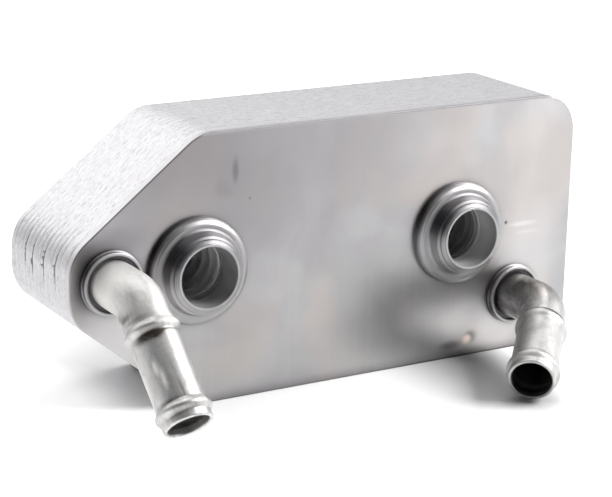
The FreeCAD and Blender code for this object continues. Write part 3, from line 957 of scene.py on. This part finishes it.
# the upper slant, where braze fills the grooves: where it begins along z and -x, and how far
CHAMFER_FROM = (12.0, 50.0)
CHAMFER_RAMP = 6.0
CHAMFER_FILL = 0.80
# how far the band's front and middle lie inside the outline, in mm: a part that goes where braze
# fills the groove, its fine noise, the rest, and its tiny noise
FRONT_INSET = (0.24, 0.07, 0.06, 0.04)
MIDDLE_INSET = (0.15, 0.06, 0.05, 0.04)
# the same for the crest, which keeps its place: the whole, its fine and tiny noise, and the least
CREST_INSET = (0.06, 0.035, 0.03)
CREST_LEAST = 0.005
# the rest of the band's profile: its overlaps, its depth behind the edge, and its small rounds
BAND_UNDER = 0.05
BAND_DEPTH = 0.72
BAND_LAP = 0.07
FRONT_ROUND = (0.12, 0.14)
CREST_RUN = (0.45, 0.12)
CREST_DROP = 0.02
BACK_ROUND = (0.14, 0.04)

STATIONS, RUNS = outline_stations(OUTLINE_STEP)


def rim_inset(y, tip):
    """How far the outer face of the rim that ends at tip lies inside the outline, at y."""
    inset = RIM_SETBACK + (tip - y) * RIM_SLOPE
    from_floor = RIM_HEIGHT - (tip - y)
    if from_floor < RIM_BEND:
        inset += (1 - max(from_floor, 0) / RIM_BEND) * RIM_BEND_INSET
    return inset


def noise_at(x, z, number, kind):
    seed_step, seed_start, scale = kind
    return noise.noise(Vector((x * scale, z * scale, number * seed_step + seed_start)))


def seam_gap(x, z, number, sealed):
    """How wide the groove in front of a band is at one place, in mm."""
    tiny = noise_at(x, z, number, TINY_NOISE)
    if number == 1:
        opening = ramp(-x, COVER_SEAM_FROM, COVER_SEAM_RAMP)
        return COVER_SEAM_LEAST + (COVER_SEAM_OPEN + COVER_SEAM_NOISE * tiny) * opening
    wide = noise_at(x, z, number, WIDE_NOISE)
    fine = noise_at(x, z, number, FINE_NOISE)
    gap = SEAM_LEAST + (SEAM_NOISE * max(0.0, fine) + SEAM_NOISE * max(0.0, wide)) * sealed
    if number in OPEN_SEAMS:
        across = (x - SEAM_CENTRE[0]) / SEAM_REACH[0]
        up = (z - SEAM_CENTRE[1] - SEAM_SHIFT * math.sin(number * SEAM_PHASE)) / SEAM_REACH[1]
        on_patch = math.exp(-across ** 2 - up ** 2)
        gap += OPEN_SEAMS[number] * (OPEN_OFF + OPEN_ON * on_patch) * (OPEN_EVEN + OPEN_NOISE * tiny)
    return gap


def band_inset(sizes, fine, tiny, sealed):
    """How far a band's surface lies inside the outline at one place, in mm."""
    open_part, fine_part, rest, tiny_part = sizes
    return (open_part + fine_part * fine) * sealed + rest + tiny_part * tiny


def braze_band(number):
    """Filler metal and rolled edge over the exposed face of one rim, with the groove in front."""
    tip = COVER_BACK / MM + (number - 1) * PITCH + RIM_HEIGHT
    start = COVER_BACK / MM if number == 1 else tip - PITCH
    end = -CREST_DROP if number == PLATES else tip + BAND_LAP
    verts = []
    run = []
    for (point, normal), length in zip(STATIONS, RUNS):
        x, z = point
        on_chamfer = ramp(z, CHAMFER_FROM[0], CHAMFER_RAMP) * ramp(-x, CHAMFER_FROM[1], CHAMFER_RAMP)
        sealed = 1.0 - CHAMFER_FILL * on_chamfer
        fine = noise_at(x, z, number, FINE_NOISE)
        tiny = noise_at(x, z, number, TINY_NOISE)
        front = band_inset(FRONT_INSET, fine, tiny, sealed)
        middle = band_inset(MIDDLE_INSET, fine, noise_at(x, z, number, MIDDLE_NOISE), sealed)
        crest = max(CREST_INSET[0] + CREST_INSET[1] * fine + CREST_INSET[2] * tiny, CREST_LEAST)
        y0 = start + seam_gap(x, z, number, sealed)
        under = rim_inset(y0, tip) + BAND_UNDER
        profile = [
            (under, y0), (front + FRONT_ROUND[0] * sealed, y0), (front, y0 + FRONT_ROUND[1]),
            (middle, (y0 + tip) / 2), (crest, tip - CREST_RUN[0]), (crest + CREST_DROP, tip - CREST_RUN[1]),
            (crest + BACK_ROUND[0] * sealed, end - BACK_ROUND[1]), (BAND_DEPTH, end),
        ]
        for inset, y in profile:
            verts.append(((x - normal.x * inset) * MM, y * MM, (z - normal.y * inset) * MM))
            run.append((length * MM, y * MM, inset * MM))
    faces = ring_faces(len(STATIONS), len(profile))
    return add_piece(f"braze_band_{number:02d}", verts, faces, "channel_sheet", (), {"run": run},
                     BRAZE_SHARP, "braze_bead")


for number in range(1, PLATES + 1):
    braze_band(number)

# ---- floor, light ------------------------------------------------------------------------
FLOOR_LEVEL = cad_box[0].z
FLOOR_REACH = 6.0
FLOOR_ROUGH = 0.75
FLOOR_TINTS = ((0.90, 0.90, 0.905), (0.92, 0.92, 0.92))
WHITE = (1.0, 1.0, 1.0, 1.0)
# the shade by the cover's lower edge: reach, closeness, strength, and its two ends along x
SHADE_REACH = 0.09
SHADE_RANGE = (0.40, 0.95)
SHADE_STRENGTH = 0.46
SHADE_LEFT = (0.010, 0.045)
SHADE_RIGHT = (0.053, 0.067)
# the floor's glow: where it rises, in metres, and how strong it gets
BEHIND_LEAN = -0.8
BEHIND_FROM = (0.05, 0.11)
BEHIND_GLOW = 0.55
BESIDE_FROM = (-0.064, -0.088)
BESIDE_GLOW = 0.43
FAR_FROM = (0.20, 0.45)
FAR_GLOW = 0.60
FRONT_LEFT_FROM = ((-0.035, -0.060), (-0.078, -0.095))
FRONT_LEFT_GLOW = 0.35
AWAY_FROM = (0.50, 0.95)
AWAY_GLOW = 0.60
# where behind the left end it is weaker, along x and y, and by how much
BACK_LEFT_FROM = ((-0.104, -0.135), (-0.005, 0.03))
BACK_LEFT_LOSS = 0.65


def floor_material():
    """Pale matt floor: it glows where the photo's floor is burnt out, and dims by the right stub."""
    n = Nodes("floor")
    place = n.place()
    x, y, _ = n.split(place)

    def over(value, source, low, high):
        return n.remap(value, source, (low, high), smooth=True)

    clouds = n.noise(place, (3.0, 3.0, 3.0), 2.0, 0.5)
    color = n.blend(n.spread(clouds), *FLOOR_TINTS)
    contact = n.closeness(SHADE_REACH, SHADE_RANGE, SHADE_STRENGTH)
    contact = n.math("MULTIPLY", contact, over(x, SHADE_LEFT, 0.0, 1.0))
    contact = n.math("MULTIPLY", contact, over(x, SHADE_RIGHT, 1.0, 0.0))
    color = n.blend(contact, color, PAINTED_SHADE_DARK)

    behind = n.math("ADD", n.math("MULTIPLY", x, BEHIND_LEAN), y)
    behind = over(behind, BEHIND_FROM, 0.0, BEHIND_GLOW)
    beside = over(x, BESIDE_FROM, 0.0, BESIDE_GLOW)
    far = over(y, FAR_FROM, 0.0, FAR_GLOW)
    front_left = n.math("MULTIPLY", over(x, FRONT_LEFT_FROM[0], 0.0, 1.0),
                        over(y, FRONT_LEFT_FROM[1], 0.0, FRONT_LEFT_GLOW))
    glow = n.math("MAXIMUM", n.math("MAXIMUM", behind, beside), n.math("MAXIMUM", far, front_left))
    back_left = n.math("MULTIPLY", over(x, BACK_LEFT_FROM[0], 0.0, 1.0),
                       over(y, BACK_LEFT_FROM[1], 0.0, 1.0))
    loss = n.math("MULTIPLY", back_left, BACK_LEFT_LOSS)
    glow = n.math("MULTIPLY", glow, n.math("SUBTRACT", 1.0, loss))
    distance = n.add("ShaderNodeVectorMath", operation="LENGTH")
    n.link(place, distance.inputs[0])
    away = over(distance.outputs["Value"], AWAY_FROM, 0.0, AWAY_GLOW)
    glow = n.math("MAXIMUM", glow, away)

    n.shader.inputs["Metallic"].default_value = 0.0
    n.shader.inputs["Roughness"].default_value = FLOOR_ROUGH
    n.shader.inputs["Emission Color"].default_value = WHITE
    n.link(color, n.shader.inputs["Base Color"])
    n.link(glow, n.shader.inputs["Emission Strength"])
    return n.material


floor_mesh = bpy.data.meshes.new("floor")
floor_mesh.from_pydata([(-FLOOR_REACH, -FLOOR_REACH, FLOOR_LEVEL), (FLOOR_REACH, -FLOOR_REACH, FLOOR_LEVEL),
                        (FLOOR_REACH, FLOOR_REACH, FLOOR_LEVEL), (-FLOOR_REACH, FLOOR_REACH, FLOOR_LEVEL)],
                       [], [(0, 1, 2, 3)])
floor = bpy.data.objects.new("floor", floor_mesh)
scene.collection.objects.link(floor)
floor_mesh.materials.append(floor_material())

# the world is dark in front of the object, so that its front isn't flat, and bright behind it
WORLD_COLOR = (0.985, 0.985, 1.0, 1.0)
WORLD_ACROSS = (-0.7, 0.6)
WORLD_STRENGTH = (0.03, 0.585)
world = bpy.data.worlds.new("world")
scene.world = world
world.use_nodes = True
world_tree = world.node_tree
background = world_tree.nodes["Background"]
coordinate = world_tree.nodes.new("ShaderNodeTexCoord")
split = world_tree.nodes.new("ShaderNodeSeparateXYZ")
world_tree.links.new(coordinate.outputs["Generated"], split.inputs[0])
front_map = world_tree.nodes.new("ShaderNodeMapRange")
front_map.interpolation_type = "SMOOTHSTEP"
front_map.inputs["From Min"].default_value = WORLD_ACROSS[0]
front_map.inputs["From Max"].default_value = WORLD_ACROSS[1]
front_map.inputs["To Min"].default_value = WORLD_STRENGTH[0]
front_map.inputs["To Max"].default_value = WORLD_STRENGTH[1]
world_tree.links.new(split.outputs["Y"], front_map.inputs["Value"])
world_tree.links.new(front_map.outputs["Result"], background.inputs["Strength"])
background.inputs["Color"].default_value = WORLD_COLOR


def area_light(name, place, target, width, height, power):
    """A soft box of the given size in metres and power in watts, out of the camera's sight."""
    data = bpy.data.lights.new(name, "AREA")
    data.shape = "RECTANGLE"
    data.size = width
    data.size_y = height
    data.energy = power
    obj = bpy.data.objects.new(name, data)
    scene.collection.objects.link(obj)
    obj.location = place
    obj.rotation_euler = (Vector(target) - Vector(place)).to_track_quat("-Z", "Y").to_euler()
    obj.visible_camera = False


# name, place, target, width, height and power of each soft box
SOFT_BOXES = [
    ("top_box", (-0.05, 0.18, 0.80), (0.0, 0.0, 0.0), 0.80, 0.60, 2.6),
    ("key_box", (0.64, -0.46, 0.54), (0.05, -0.03, 0.0), 0.50, 0.45, 13.0),
    ("back_box", (-0.30, 0.80, 0.50), (0.0, 0.0, 0.0), 0.90, 0.40, 1.75),
]
for settings in SOFT_BOXES:
    area_light(*settings)
